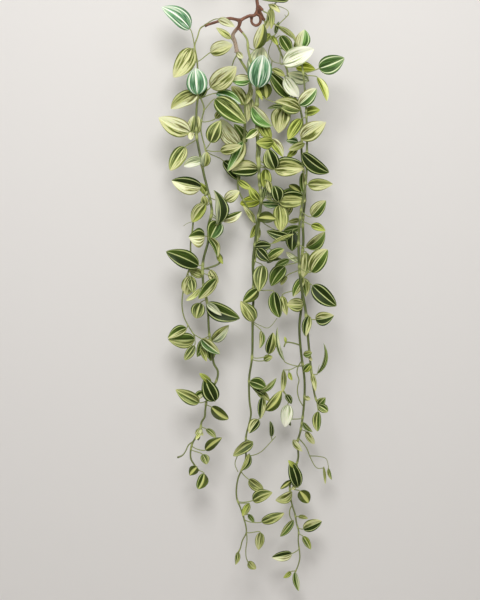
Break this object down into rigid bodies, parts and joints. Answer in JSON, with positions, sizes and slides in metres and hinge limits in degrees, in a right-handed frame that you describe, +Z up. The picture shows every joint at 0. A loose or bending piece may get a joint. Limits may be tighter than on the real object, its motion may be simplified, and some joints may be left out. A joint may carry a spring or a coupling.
{
  "type": "potted trailing plant",
  "caption": "Trailing striped-leaf tradescantia in a half-round wall pot, with a forked woody stem and long leafy stems hanging free below it.",
  "frame": {"origin": "centre of the pot's flat back face, at the height of the rim", "axes": "+Y out of the back face, into the wall that the pot hangs on; +Z up, from the hanging stems to the pot; +X to the right as seen from the front"},
  "size_m": [0.247, 0.1317, 1.0278],
  "materials": {
    "pot": "satin",
    "soil": "matte",
    "wood": "matte",
    "leaf": "satin"
  },
  "bodies": {
    "root": {"pot": "pot", "soil": "soil", "woody_stem": "wood", "stem_left": "leaf", "stem_middle_left": "leaf", "stem_middle": "leaf", "stem_right": "leaf", "stem_right_outer": "leaf", "crown_shoot_1": "leaf", "crown_shoot_2": "leaf", "crown_shoot_3": "leaf", "crown_shoot_4": "leaf", "crown_shoot_5": "leaf", "crown_shoot_6": "leaf", "crown_shoot_7": "leaf", "crown_shoot_8": "leaf"}
  },
  "joints": []
}
